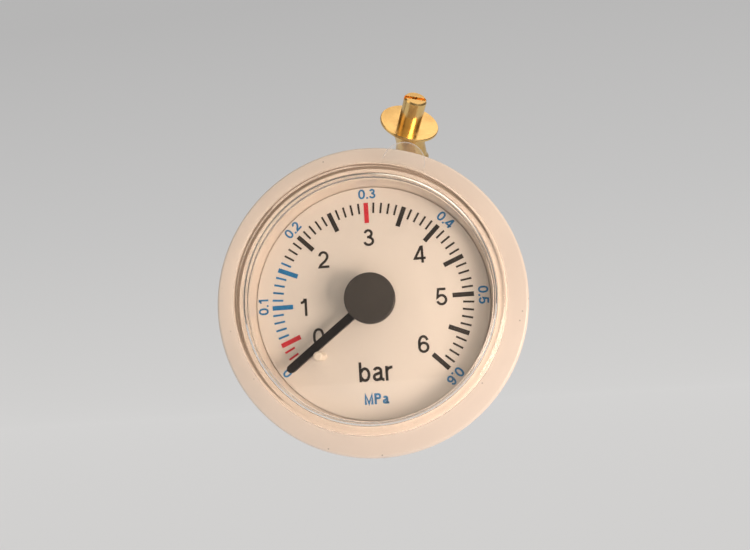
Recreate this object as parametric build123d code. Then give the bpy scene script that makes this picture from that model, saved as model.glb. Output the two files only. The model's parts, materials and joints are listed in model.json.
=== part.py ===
from build123d import *
import math
import os

# Panel pressure gauge for a heating boiler, with a capillary line. Millimetres, +Z towards 12 o'clock,
# the dial faces -Y, and the origin is on the gauge axis at the back face of the bezel flange.
# A clock angle is in degrees clockwise from 12 o'clock, seen from the front.

# ---- case ----
BEZEL_R = 26.0
BEZEL_EDGE_R = 0.5         # rounding of the bezel's outer edge
FLANGE_T = 2.5
BARREL_R = 21.5
BARREL_LENGTH = 18.0
MOUTH_R = 20.45            # inner wall between the lens and the dial
LENS_SEAT_DEPTH = 0.8
BARREL_BORE_R = 20.3
LEDGE_R = 18.9
LEDGE_T = 1.3
COVER_T = 1.6
BOSS_R = 2.2
BOSS_CLOCKS = (-92, 28, 148)
BOSS_PLACE_R = 18.3
SCREW_DEPTH = 7.0          # of the cover screws' holes in the bosses

# ---- lens and film ----
LENS_R = 22.05
LENS_WALL = 1.4
LENS_FRONT_T = 1.5
LENS_PROUD = 4.1           # height of the lens face above the bezel face
LENS_EDGE_R = 0.8          # rounding of the front edge, outside and inside
LENS_INNER_EDGE_R = 0.9
LENS_LIP_W = 0.25          # the foot rests on a low lip round its outer edge
LENS_LIP_H = 0.03
FILM_T = 0.1
FILM_R = 21.2
TAB_W = 7.0
TAB_REACH = 25.8
TAB_CLOCK = 19.0

# ---- dial and scale ----
DIAL_Y = 2.4               # front face of the dial
DIAL_T = 0.5
DIAL_R = 20.3
PRINT_T = 0.05
TICK_OUTER_R = 17.55
LONG_TICK_INNER_R = 13.9
SHORT_TICK_INNER_R = 15.65
LONG_TICK_W = 0.8
SHORT_TICK_W = 0.34
ZERO_CLOCK = -127.5        # the zero mark stands short of its even place at -135
THREE_BAR_CLOCK = 0.0
DEGREES_PER_BAR = 45.0
STOP_PIN_R = 0.75
STOP_PIN_CLOCK = -134.6
STOP_PIN_PLACE_R = 12.83
STOP_PIN_H = 5.0

# ---- pointer ----
HUB_R = 4.25
HUB_T = 1.9
HUB_FRONT = 5.2            # height of the hub's face above the dial
BLADE_W = 1.4
BLADE_T = 1.2
BLADE_TIP_R = 18.4
BOSS_OUTER_R = 1.6

# ---- movement ----
STAFF_R = 0.5
DIAL_HOLE_R = 1.3
RUNNING_CLEARANCE = 0.05
PLATE_T = 1.2
FRONT_PLATE_Y = 5.0
REAR_PLATE_Y = 11.2
GEAR_MODULE = 0.2
PINION_TEETH = 10
SECTOR_TEETH_IN_CIRCLE = 100
SECTOR_TEETH = 12
SECTOR_TRAVEL = 27.0
SECTOR_ARM = 4.5
SECTOR_Y = 7.2
SECTOR_T = 1.2
LINK_Y = 8.6
LINK_T = 0.8
PIN_R = 0.4
ARBOR_R = 0.6
OPEN_PIVOT_CLEARANCE = 0.15

# ---- screws: shank and head radius, head thickness ----
PLATE_SCREW_R, PLATE_HEAD_R, PLATE_HEAD_T = 0.5, 1.1, 0.8
ARM_SCREW_R, ARM_HEAD_R, ARM_HEAD_T = 0.5, 0.95, 0.7
COVER_SCREW_R, COVER_HEAD_R, COVER_HEAD_T = 0.8, 1.6, 1.0
SOCKET_SCREW_R, SOCKET_HEAD_R, SOCKET_HEAD_T = 0.7, 1.5, 1.0

# ---- Bourdon tube ----
TUBE_R = 15.0
TUBE_WIDTH = 5.0
TUBE_THICK = 1.6
TUBE_WALL = 0.25
TUBE_Y = 10.5
SOCKET_CLOCK = -61.6
TUBE_START_CLOCK = SOCKET_CLOCK + 8.0
TUBE_SPAN = 265.0
TIP_PIN_R = 12.2
TIP_PIN_LEAD = 5.0         # degrees from the tube's end to the tip pin

# ---- capillary line ----
LINE_R = 1.0
LINE_STEP = 6.0            # one run of the bend out of the gland
COIL_TURN_RADII = (7.9, 10.0, 12.1, 14.2)
COIL_PITCH = 2.1
GLAND_Y = BARREL_LENGTH + 1.2

# ---- end fitting ----
FITTING_FACE = (8.86, 5.4, 33.25)       # centre of the flange's outer face
FITTING_AXIS = (0.281, -0.807, 0.519)   # from the flange out along the nipple
FLANGE_R = 5.5
NIPPLE_R = 2.08
NIPPLE_LENGTH = 4.9
FITTING_FLANGE_T = 0.6
FITTING_TAIL_AXIS = (-0.025, 0.762, -0.649)   # from the flange back along the neck, which is bent
FITTING_TAIL = 12.0
WAIST_R = 2.75
WAIST_AT = 3.6             # along the neck from the flange's outer face
BODY_R = 3.4
SLOT_W = 0.8
SLOT_DEPTH = 0.7
FITTING_BORE_R = 0.45

# ---- lead from the coil to the end fitting ----
LEAD_FIRST_RUN = 13.8
LEAD_MIDDLE = (8.1, 25.35, 19.95)
LEAD_LAST_RUN = 4.47


def clock(radius, angle):
    """A point at a radius and a clock angle, as (x, z)."""
    a = math.radians(angle)
    return (radius * math.sin(a), radius * math.cos(a))


def turned_clockwise(point, angle, centre=(0.0, 0.0)):
    """An (x, z) point turned clockwise, seen from the front, about a centre."""
    a = math.radians(angle)
    x, z = point[0] - centre[0], point[1] - centre[1]
    return (centre[0] + x * math.cos(a) + z * math.sin(a), centre[1] - x * math.sin(a) + z * math.cos(a))


def rod(radius, y0, y1, at=(0.0, 0.0), hole=0.0):
    """A round bar or a bush along Y, from y0 to y1."""
    bottom = (Align.CENTER, Align.CENTER, Align.MIN)
    body = Cylinder(radius, y1 - y0, align=bottom)
    if hole:
        body -= Cylinder(hole, y1 - y0, align=bottom)
    return Location((at[0], y0, at[1]), (-90, 0, 0)) * body


def turned(points):
    """A solid of revolution about the gauge axis, from (radius, y) points."""
    return revolve(make_face(Polyline(*points, close=True)), Axis.Y)


def flat(face, y0, y1):
    """A plate along Y from a face drawn as (x, z) in the XY plane."""
    plate = extrude(face, y1 - y0)
    return Location((0, y1, 0), (90, 0, 0)) * plate


def block(size, place, angle=0.0):
    """A box of (across, depth, outwards) at a centre (radius, y), turned to a clock angle."""
    return Rot(0, angle, 0) * Pos(place[0], place[1], place[2]) * Box(*size)


def unit(v):
    length = math.sqrt(sum(c * c for c in v))
    return tuple(c / length for c in v)


def write(node, shape):
    """One STEP file per node."""
    export_step(shape, f"parts/{node}.step")


# ---------------------------------------------------------------- linkage geometry

SECTOR_PITCH_R = GEAR_MODULE * SECTOR_TEETH_IN_CIRCLE / 2
PINION_PITCH_R = GEAR_MODULE * PINION_TEETH / 2
CENTRES = SECTOR_PITCH_R + PINION_PITCH_R
TUBE_END_CLOCK = TUBE_START_CLOCK + TUBE_SPAN


def linkage():
    """Places of the linkage at rest: the tube tip's centre of turning, tip pin, sector arbor, tail pin,
    and the tip's turn over the full travel. The tip of an evenly bending arc turns about the arc's
    centroid. At mid travel the link runs along the tip's path and stands square to the sector's arm."""
    span = math.radians(TUBE_SPAN)
    centroid = clock(TUBE_R * 2 * math.sin(span / 2) / span, TUBE_START_CLOCK + TUBE_SPAN / 2)
    tip = clock(TIP_PIN_R, TUBE_END_CLOCK + TIP_PIN_LEAD)
    reach = math.dist(tip, centroid)
    tip_turn = 2 * math.degrees(math.asin(SECTOR_ARM * math.sin(math.radians(SECTOR_TRAVEL / 2)) / reach))
    tip_mid = turned_clockwise(tip, -tip_turn / 2, centroid)
    out = ((tip_mid[0] - centroid[0]) / reach, (tip_mid[1] - centroid[1]) / reach)
    path = (-out[1], out[0])
    side = (-path[1], path[0])
    corner = (tip_mid[0] + SECTOR_ARM * side[0], tip_mid[1] + SECTOR_ARM * side[1])
    along = corner[0] * path[0] + corner[1] * path[1]
    off = corner[0] ** 2 + corner[1] ** 2 - CENTRES ** 2
    length = along + math.sqrt(along ** 2 - off)
    arbor = (corner[0] - length * path[0], corner[1] - length * path[1])
    tail_mid = (tip_mid[0] - length * path[0], tip_mid[1] - length * path[1])
    tail = turned_clockwise(tail_mid, SECTOR_TRAVEL / 2, arbor)
    return centroid, tip, arbor, tail, tip_turn


TIP_CENTRE, TIP_PIN, ARBOR, TAIL_PIN, TIP_TURN = linkage()
ARBOR_CLOCK = math.degrees(math.atan2(ARBOR[0], ARBOR[1]))
SOCKET_R = 14.0
GLAND = clock(SOCKET_R, SOCKET_CLOCK)


# ---------------------------------------------------------------- case, lens and dial

def bezel_case():
    """White moulding: flange with the lens seat, mouth, dial ledge and barrel with three screw bosses."""
    face = -FLANGE_T
    seat = face + LENS_SEAT_DEPTH
    ledge = DIAL_Y + DIAL_T
    cover = BARREL_LENGTH - COVER_T
    shell = turned([
        (LENS_R + 0.1, face), (BEZEL_R, face), (BEZEL_R, 0), (BARREL_R, 0), (BARREL_R, BARREL_LENGTH),
        (BARREL_BORE_R, BARREL_LENGTH), (BARREL_BORE_R, ledge + LEDGE_T), (LEDGE_R, ledge + LEDGE_T),
        (LEDGE_R, ledge), (MOUTH_R, ledge), (MOUTH_R, seat), (LENS_R + 0.1, seat),
    ])
    rim = shell.edges().filter_by(GeomType.CIRCLE).filter_by(lambda e: abs(e.radius - BEZEL_R) < 0.01)
    shell = fillet(rim.sort_by(Axis.Y)[0], BEZEL_EDGE_R)
    for angle in BOSS_CLOCKS:
        at = clock(BOSS_PLACE_R, angle)
        boss = rod(BOSS_R, ledge + LEDGE_T, cover, at) & rod(BARREL_BORE_R + 0.3, 0, cover)
        shell += boss
        shell -= rod(COVER_SCREW_R, cover - SCREW_DEPTH, cover, at)
    return shell


def lens():
    """Clear cup with a front edge rounded outside and inside, seated in the bezel's groove."""
    foot = -FLANGE_T + LENS_SEAT_DEPTH
    front = -FLANGE_T - LENS_PROUD
    inner = LENS_R - LENS_WALL
    cup = turned([
        (0, front), (LENS_R, front), (LENS_R, foot), (LENS_R - LENS_LIP_W, foot),
        (LENS_R - LENS_LIP_W, foot - LENS_LIP_H), (inner, foot - LENS_LIP_H), (inner, front + LENS_FRONT_T),
        (0, front + LENS_FRONT_T),
    ])
    rims = cup.edges().filter_by(GeomType.CIRCLE)
    outer_rim = rims.filter_by(lambda e: abs(e.radius - LENS_R) < 0.01).sort_by(Axis.Y)[0]
    cup = fillet(outer_rim, LENS_EDGE_R)
    rims = cup.edges().filter_by(GeomType.CIRCLE)
    inner_rim = rims.filter_by(lambda e: abs(e.radius - inner) < 0.01).sort_by(Axis.Y)[0]
    return fillet(inner_rim, LENS_INNER_EDGE_R)


def lens_film():
    """Clear protective film on the lens face, with a round-ended pull tab past the bezel."""
    back = -FLANGE_T - LENS_PROUD
    tab_centre = TAB_REACH - TAB_W / 2
    tab = Pos(0, tab_centre / 2) * Rectangle(TAB_W, tab_centre) + Pos(0, tab_centre) * Circle(TAB_W / 2)
    sheet = Circle(FILM_R) + Rot(0, 0, -TAB_CLOCK) * tab
    return flat(sheet, back - FILM_T, back)


def dial():
    """White dial plate with holes for the staff and the stop pin."""
    plate = rod(DIAL_R, DIAL_Y, DIAL_Y + DIAL_T, hole=DIAL_HOLE_R)
    return plate - rod(STOP_PIN_R, DIAL_Y, DIAL_Y + DIAL_T, clock(STOP_PIN_PLACE_R, STOP_PIN_CLOCK))


def tick(bar_tenths):
    """One printed mark at a pressure in tenths of a bar: long every half bar."""
    long_mark = bar_tenths % 5 == 0
    inner = LONG_TICK_INNER_R if long_mark else SHORT_TICK_INNER_R
    width = LONG_TICK_W if long_mark else SHORT_TICK_W
    angle = THREE_BAR_CLOCK + (bar_tenths - 30) * DEGREES_PER_BAR / 10
    if bar_tenths == 0:
        angle = ZERO_CLOCK
    middle = (TICK_OUTER_R + inner) / 2
    size = (width, PRINT_T, TICK_OUTER_R - inner)
    return block(size, (0, DIAL_Y - PRINT_T / 2, middle), angle)


def scale_marks():
    """The marks by colour. Red to half a bar and at three bar, blue to 1.6 bar, black above."""
    tenths = [0] + list(range(3, 61))
    red = [t for t in tenths if t <= 5 or t == 30]
    blue = [t for t in tenths if 6 <= t <= 16]
    black = [t for t in tenths if t > 16 and t != 30]
    return {name: Compound([tick(t) for t in group]) for name, group in (
        ("scale_marks_red", red), ("scale_marks_blue", blue), ("scale_marks_black", black))}


def stop_pin():
    at = clock(STOP_PIN_PLACE_R, STOP_PIN_CLOCK)
    pin = rod(STOP_PIN_R, DIAL_Y - STOP_PIN_H, DIAL_Y + DIAL_T, at)
    return chamfer(pin.edges().sort_by(Axis.Y)[0], 0.2)


# ---------------------------------------------------------------- pointer and pinion

BLADE_FRONT = DIAL_Y - HUB_FRONT + HUB_T


def pointer():
    """Black hand with a boss, which is pushed on to the staff."""
    tip_centre = BLADE_TIP_R - BLADE_W / 2
    blade = Pos(0, tip_centre / 2) * Rectangle(BLADE_W, tip_centre) + Pos(0, tip_centre) * Circle(BLADE_W / 2)
    outline = Rot(0, 0, -ZERO_CLOCK) * (blade + Circle(2.6))
    hand = flat(outline, BLADE_FRONT, BLADE_FRONT + BLADE_T)
    hand += rod(BOSS_OUTER_R, BLADE_FRONT - 0.9, BLADE_FRONT + BLADE_T + 0.8)
    return hand - rod(STAFF_R, BLADE_FRONT - 0.9, BLADE_FRONT + BLADE_T + 0.8)


def pointer_hub():
    """Large round cap over the boss, with a softened front edge."""
    front = DIAL_Y - HUB_FRONT
    cap = rod(HUB_R, front, BLADE_FRONT) - rod(BOSS_OUTER_R, BLADE_FRONT - 0.9, BLADE_FRONT)
    return fillet(cap.edges().sort_by(Axis.Y)[0], 0.25)


def gear_outline(teeth, first, count, body_r, tip_add, root_add):
    """A face with straight-flanked teeth about the origin, the first one centred at a clock angle."""
    pitch_r = GEAR_MODULE * teeth / 2
    step = 360.0 / teeth
    outline = Circle(body_r)
    half_root = 0.36 * GEAR_MODULE * math.pi / 2
    half_tip = 0.16 * GEAR_MODULE * math.pi / 2
    for k in range(count):
        tooth = make_face(Polyline(
            (-half_root * 1.15, pitch_r - root_add - 0.05), (-half_tip, pitch_r + tip_add),
            (half_tip, pitch_r + tip_add), (half_root * 1.15, pitch_r - root_add - 0.05), close=True))
        outline += Rot(0, 0, -(first + k * step)) * tooth
    return outline


def pinion_staff():
    """Staff with the pinion's teeth cut on it. A tooth gap faces the sector's pivot at rest."""
    half_step = 180.0 / PINION_TEETH
    root_add = 0.24
    outline = gear_outline(PINION_TEETH, ARBOR_CLOCK + half_step, PINION_TEETH,
                           PINION_PITCH_R - root_add, 0.14, root_add)
    teeth = flat(outline, SECTOR_Y - 0.3, SECTOR_Y + SECTOR_T + 0.3)
    return teeth + rod(STAFF_R, BLADE_FRONT - 0.7, REAR_PLATE_Y + PLATE_T + 0.4)


def sector():
    """Toothed sector with a tail for the link. At rest it meshes near its leading end."""
    root_add = 0.24
    to_staff = ARBOR_CLOCK + 180
    step = 360.0 / SECTOR_TEETH_IN_CIRCLE
    first = to_staff - 2 * step
    rim_from, rim_to = first - step, first + SECTOR_TEETH * step
    root_r = SECTOR_PITCH_R - root_add
    pie = [(0, 0)] + [clock(2 * root_r, rim_from + (rim_to - rim_from) * k / 4) for k in range(5)]
    rim = (Circle(root_r) - Circle(root_r - 1.5)) & make_face(Polyline(*pie, close=True))
    teeth = gear_outline(SECTOR_TEETH_IN_CIRCLE, first, SECTOR_TEETH, 0.2, 0.12, root_add + 0.1)
    spoke_clock = (rim_from + rim_to) / 2
    spoke = Rot(0, 0, -spoke_clock) * Pos(0, root_r / 2) * Rectangle(2.2, root_r - 1)
    tail_from_arbor = (TAIL_PIN[0] - ARBOR[0], TAIL_PIN[1] - ARBOR[1])
    tail_clock = math.degrees(math.atan2(*tail_from_arbor))
    tail = Rot(0, 0, -tail_clock) * (
        Pos(0, SECTOR_ARM / 2) * Rectangle(1.6, SECTOR_ARM) + Pos(0, SECTOR_ARM) * Circle(1.0))
    outline = rim + teeth + spoke + tail + Circle(1.7)
    outline -= Circle(ARBOR_R)
    outline -= Rot(0, 0, -tail_clock) * Pos(0, SECTOR_ARM) * Circle(PIN_R + RUNNING_CLEARANCE)
    return Pos(ARBOR[0], 0, ARBOR[1]) * flat(outline, SECTOR_Y, SECTOR_Y + SECTOR_T)


def link_outline(grow=0.0):
    """Flat bar between the tail pin and the tip pin."""
    dx, dz = TIP_PIN[0] - TAIL_PIN[0], TIP_PIN[1] - TAIL_PIN[1]
    length = math.hypot(dx, dz)
    angle = math.degrees(math.atan2(dx, dz))
    bar = Pos(0, length / 2) * Rectangle(1.1, length) + Circle(0.9) + Pos(0, length) * Circle(0.9)
    holes = Circle(PIN_R) + Pos(0, length) * Circle(PIN_R)
    return Pos(TAIL_PIN[0], TAIL_PIN[1]) * Rot(0, 0, -angle) * (bar - holes)


def link_pins():
    """Two pins, fast in the link: one runs in the sector's tail, one in the tube tip's eye."""
    front = SECTOR_Y - 0.3
    back = LINK_Y + LINK_T
    return Compound([rod(PIN_R, front, back, TAIL_PIN), rod(PIN_R, front, back, TIP_PIN)])


def hairspring():
    """Flat spiral between the collet and the stud, built from half rings whose centres alternate."""
    thick, pitch, turns = 0.14, 0.8, 4
    inner = 1.6
    spiral = None
    for k in range(2 * turns):
        r = inner + pitch / 2 * k
        shift = pitch / 4 * (1 if k % 2 else -1)
        ring = Circle(r + thick / 2) - Circle(r - thick / 2)
        half = Pos(0, 10 if k % 2 else -10) * Rectangle(40, 20)
        piece = Pos(shift, 0) * (ring & half)
        spiral = piece if spiral is None else spiral + piece
    return flat(spiral, 9.7, 10.4)


# ---------------------------------------------------------------- movement frame

def plate_outline():
    """Bearing plate round the staff, the arbor and the three pillars."""
    spots = [((0, 0), 2.8), (ARBOR, 2.2)] + [(at, 1.7) for at in PILLARS]
    rounds = [Pos(*at) * Circle(r) for at, r in spots]
    outline = make_hull([e for c in rounds for e in c.edges()])
    return outline


PILLARS = (clock(6.6, ARBOR_CLOCK + 95), clock(7.2, ARBOR_CLOCK + 165), clock(8.9, ARBOR_CLOCK - 27))


def plate(y0):
    """A brass bearing plate, with running holes for the staff and arbor and holes for the screws."""
    body = flat(plate_outline(), y0, y0 + PLATE_T)
    body -= rod(STAFF_R + RUNNING_CLEARANCE, y0, y0 + PLATE_T)
    body -= rod(ARBOR_R + RUNNING_CLEARANCE, y0, y0 + PLATE_T, ARBOR)
    for at in PILLARS:
        body -= rod(PLATE_SCREW_R, y0, y0 + PLATE_T, at)
    return body


def screw(at, seat, tip, head_r, shank_r, head_t, forward=True):
    """A slotted cheese-head screw along Y. Its head stands in front of the seat, or behind it."""
    sign = -1 if forward else 1
    outer = seat + sign * head_t
    head = rod(head_r, min(seat, outer), max(seat, outer), at)
    shank = rod(shank_r, min(seat, tip), max(seat, tip), at)
    slot_depth = head_t * 0.45
    slot = Box(head_r * 2.2, slot_depth, head_r * 0.35)
    return head + shank - Pos(at[0], outer - sign * slot_depth / 2, at[1]) * slot


SOCKET_SCREWS = [(-2.6, 11.2), (2.6, 11.2)]
ARM_SCREWS = [(0.0, 9.4), (0.0, 12.0)]


def in_socket(across, radius):
    """(x, z) of a point given across and outwards from the axis at the socket's clock angle."""
    return turned_clockwise((across, radius), SOCKET_CLOCK)


def socket_block():
    """Brass block behind the rear plate: it holds the tube's root and takes the pressure line."""
    back = BARREL_LENGTH - COVER_T
    inner = block((9.0, back - REAR_PLATE_Y - PLATE_T, 5.4), (0, (back + REAR_PLATE_Y + PLATE_T) / 2, 10.6),
                  SOCKET_CLOCK)
    outer = block((9.0, back - 7.6, 4.7), (0, (back + 7.6) / 2, 15.55), SOCKET_CLOCK)
    body = inner + outer
    body -= tube_solid(0.0)
    body -= rod(LINE_R, 13.4, back, GLAND)
    body -= rod(0.4, TUBE_Y, 13.4, GLAND)
    for across, r in SOCKET_SCREWS:
        body -= rod(SOCKET_SCREW_R, 13.6, back, in_socket(across, r))
    for across, r in ARM_SCREWS:
        body -= rod(ARM_SCREW_R, REAR_PLATE_Y + PLATE_T, 15.0, in_socket(across, r))
    return body


def tube_solid(inset):
    """The Bourdon tube's outer form, or with an inset its bore: an arc of flat oval section."""
    half = TUBE_THICK / 2 - inset
    section = Pos(TUBE_R, 0) * (
        Rectangle(2 * half, TUBE_WIDTH - 2 * TUBE_THICK / 2)
        + Pos(0, TUBE_WIDTH / 2 - TUBE_THICK / 2) * Circle(half)
        + Pos(0, TUBE_THICK / 2 - TUBE_WIDTH / 2) * Circle(half))
    arc = revolve(section, Axis.Y, TUBE_SPAN)
    return Pos(0, TUBE_Y, 0) * Rot(0, TUBE_START_CLOCK - 90, 0) * arc


def bourdon_tube():
    return tube_solid(0.0) - tube_solid(TUBE_WALL)


def tube_tip():
    """Brass end piece brazed over the tube's end, with an eye for the link's pin."""
    angle = TUBE_END_CLOCK + 1.0
    tube_front = TUBE_Y - TUBE_WIDTH / 2
    wrap = block((3.0, TUBE_WIDTH + 0.8, TUBE_THICK + 1.0), (0.0, TUBE_Y, TUBE_R), angle)
    eye = Pos(*TIP_PIN) * Circle(1.25)
    root = Pos(*clock(14.4, angle)) * Circle(1.2)
    ear = flat(make_hull(eye.edges() + root.edges()), SECTOR_Y, SECTOR_Y + SECTOR_T)
    neck = block((3.0, tube_front - SECTOR_Y, 1.6), (0.0, (tube_front + SECTOR_Y) / 2, 14.2), angle)
    body = wrap + neck + ear - tube_solid(0.0)
    return body - rod(PIN_R + OPEN_PIVOT_CLEARANCE, SECTOR_Y - 1, SECTOR_Y + SECTOR_T + 0.2, TIP_PIN)


def rear_plate():
    """Rear bearing plate with an arm that is screwed to the socket block."""
    arm = Rot(0, 0, -SOCKET_CLOCK) * Pos(0, 6.6) * Rectangle(4.4, 13.2)
    body = plate(REAR_PLATE_Y) + flat(arm, REAR_PLATE_Y, REAR_PLATE_Y + PLATE_T)
    body -= rod(STAFF_R + RUNNING_CLEARANCE, REAR_PLATE_Y, REAR_PLATE_Y + PLATE_T)
    for at in PILLARS:
        body -= rod(PLATE_SCREW_R, REAR_PLATE_Y, REAR_PLATE_Y + PLATE_T, at)
    for across, r in ARM_SCREWS:
        body -= rod(ARM_SCREW_R, REAR_PLATE_Y, REAR_PLATE_Y + PLATE_T, in_socket(across, r))
    return body


def pillars():
    """Three tubes that hold the bearing plates apart."""
    return Compound([
        rod(1.0, FRONT_PLATE_Y + PLATE_T, REAR_PLATE_Y, at, hole=PLATE_SCREW_R) for at in PILLARS])


def plate_screws():
    """Three screws through each bearing plate into the pillars."""
    sizes = (PLATE_HEAD_R, PLATE_SCREW_R, PLATE_HEAD_T)
    front = [screw(at, FRONT_PLATE_Y, FRONT_PLATE_Y + 3.0, *sizes) for at in PILLARS]
    rear_face = REAR_PLATE_Y + PLATE_T
    rear = [screw(at, rear_face, rear_face - 3.0, *sizes, forward=False) for at in PILLARS]
    return Compound(front + rear)


# ---------------------------------------------------------------- back of the case

def back_cover():
    """Round cover let into the barrel, with a raised ring and holes for screws and the line."""
    inner = BARREL_LENGTH - COVER_T
    cover = rod(BARREL_BORE_R - 0.1, inner, BARREL_LENGTH)
    cover += rod(9.0, BARREL_LENGTH, BARREL_LENGTH + 0.6) - rod(8.2, BARREL_LENGTH, BARREL_LENGTH + 0.6)
    for angle in BOSS_CLOCKS:
        cover -= rod(1.05, inner, BARREL_LENGTH, clock(BOSS_PLACE_R, angle))
    for across, r in SOCKET_SCREWS:
        cover -= rod(SOCKET_SCREW_R, inner, BARREL_LENGTH + 0.6, in_socket(across, r))
        cover -= rod(1.6, BARREL_LENGTH, BARREL_LENGTH + 0.6, in_socket(across, r))
    return cover - rod(1.7, inner, BARREL_LENGTH, GLAND)


def cover_screws():
    """Three screws through the cover into the bosses."""
    sizes = (COVER_HEAD_R, COVER_SCREW_R, COVER_HEAD_T)
    return Compound([
        screw(clock(BOSS_PLACE_R, angle), BARREL_LENGTH, BARREL_LENGTH - 6.0, *sizes, forward=False)
        for angle in BOSS_CLOCKS])


def socket_screws():
    """Two screws through the cover into the socket block."""
    sizes = (SOCKET_HEAD_R, SOCKET_SCREW_R, SOCKET_HEAD_T)
    return Compound([
        screw(in_socket(*s), BARREL_LENGTH, 13.8, *sizes, forward=False) for s in SOCKET_SCREWS])


def arm_screws():
    """Two screws through the rear plate's arm into the socket block."""
    return Compound([
        screw(in_socket(*s), REAR_PLATE_Y, 14.6, ARM_HEAD_R, ARM_SCREW_R, ARM_HEAD_T) for s in ARM_SCREWS])


def gland():
    """Ferrule round the line where it leaves the cover."""
    spigot = rod(1.7, BARREL_LENGTH - COVER_T, BARREL_LENGTH, GLAND)
    collar = rod(2.1, BARREL_LENGTH, GLAND_Y, GLAND)
    return spigot + collar - rod(LINE_R, 0, GLAND_Y, GLAND)


# ---------------------------------------------------------------- capillary line and end fitting

def coil_centre():
    """Centre of the coil in (x, z), and the lead's direction: the lead leaves the coil along the
    fitting's axis as seen from the front."""
    face, axis = FITTING_FACE, unit(FITTING_AXIS)
    flat_length = math.hypot(axis[0], axis[2])
    lead = (axis[0] / flat_length, axis[2] / flat_length)
    right = (lead[1], -lead[0])
    off = face[0] * right[0] + face[2] * right[1]
    outer = COIL_TURN_RADII[-1]
    return ((off + outer) * right[0], (off + outer) * right[1]), lead, right


COIL_CENTRE, LEAD, RIGHT = coil_centre()
STEP_RISE = LINE_STEP * (1 + math.cos(math.radians(30)) + math.cos(math.radians(60)))
COIL_FRONT_Y = GLAND_Y + STEP_RISE
COIL_BACK_Y = COIL_FRONT_Y + COIL_PITCH


def gland_route():
    """The line out of the gland: a quarter bend into the coil's front layer."""
    outer = COIL_TURN_RADII[-1]
    offset = (GLAND[0] - COIL_CENTRE[0], GLAND[1] - COIL_CENTRE[1])
    run = math.sqrt(offset[0] ** 2 + offset[1] ** 2 - outer ** 2)
    back_angle = math.degrees(math.atan2(run, outer))
    towards = turned_clockwise(offset, back_angle)
    size = math.hypot(*towards)
    normal = (towards[0] / size, towards[1] / size)
    heading = (normal[1], -normal[0])
    y = GLAND_Y
    along = 0.0
    points = [(0.0, y)]
    for turn in (0, 30, 60):
        y += LINE_STEP * math.cos(math.radians(turn))
        along += LINE_STEP * math.sin(math.radians(turn))
        points.append((along, y))
    points.append((run, y))
    return [(GLAND[0] + a * heading[0], yy, GLAND[1] + a * heading[1]) for a, yy in points]


def along_tail(distance):
    """A point on the fitting's neck line, at a distance back from the flange's outer face."""
    return tuple(f + distance * a for f, a in zip(FITTING_FACE, unit(FITTING_TAIL_AXIS)))


def lead_route():
    """The line from the coil's back layer, up and forward into the fitting's tail."""
    outer = COIL_TURN_RADII[-1]
    start = (COIL_CENTRE[0] - outer * RIGHT[0], COIL_BACK_Y, COIL_CENTRE[1] - outer * RIGHT[1])
    corner = (start[0] + LEAD_FIRST_RUN * LEAD[0], COIL_BACK_Y, start[2] + LEAD_FIRST_RUN * LEAD[1])
    return [start, corner, LEAD_MIDDLE, along_tail(FITTING_TAIL + LEAD_LAST_RUN), along_tail(FITTING_TAIL)]


def bend_radii(points):
    """Bend radius at each inner point: 0.45 of the shorter run over the tangent of half the turn."""
    radii = []
    for a, b, c in zip(points, points[1:], points[2:]):
        first, second = Vector(b) - Vector(a), Vector(c) - Vector(b)
        half_turn = math.radians(first.get_angle(second)) / 2
        radii.append(0.45 * min(first.length, second.length) / math.tan(half_turn))
    return radii


def line_tube(points):
    """A round tube along straight runs joined by tangent arcs."""
    radii = bend_radii(points)
    print("bend radii", [round(r, 2) for r in radii])
    path = FilletPolyline(*points, radius=radii)
    start = Plane(origin=points[0], z_dir=Vector(points[1]) - Vector(points[0]))
    tube = sweep(start * Circle(LINE_R), path=path)
    even = math.pi * LINE_R ** 2 * path.length
    print("line length", round(path.length, 2), "volume over section times length", round(tube.volume / even, 4))
    return tube


def coil_ring():
    """Outer shape of the wound coil: a ring of oblong section, two layers deep and four turns wide."""
    inner = COIL_TURN_RADII[0] - LINE_R - 0.05
    outer = COIL_TURN_RADII[-1] + LINE_R + 0.05
    y0, y1 = COIL_FRONT_Y - LINE_R - 0.05, COIL_BACK_Y + LINE_R + 0.05
    return rod(outer, y0, y1, COIL_CENTRE, hole=inner)


def coil_tie():
    """Wire band round the coil's bundle, opposite the lead."""
    ring = coil_ring()
    width = 2.6
    span = COIL_TURN_RADII[-1] - COIL_TURN_RADII[0] + 2 * LINE_R + 1.1
    depth = COIL_PITCH + 2 * LINE_R + 1.1
    middle = (COIL_TURN_RADII[0] + COIL_TURN_RADII[-1]) / 2
    band = Pos(0, (COIL_FRONT_Y + COIL_BACK_Y) / 2, middle) * Box(width, depth, span)
    band = fillet(band.edges().filter_by(Axis.X), 0.8)
    return Pos(COIL_CENTRE[0], 0, COIL_CENTRE[1]) * Rot(0, 150, 0) * band - ring


def turned_on(origin, axis, profile):
    """A solid of revolution on an axis in space, from (radius, distance along the axis) points."""
    axis = Vector(*unit(axis))
    across = (Vector(1, 0, 0) - axis * axis.X).normalized()
    body = revolve(make_face(Polyline(*profile, close=True)), Axis.Y)
    return Plane(origin=origin, x_dir=across, z_dir=across.cross(axis)) * body


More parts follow.
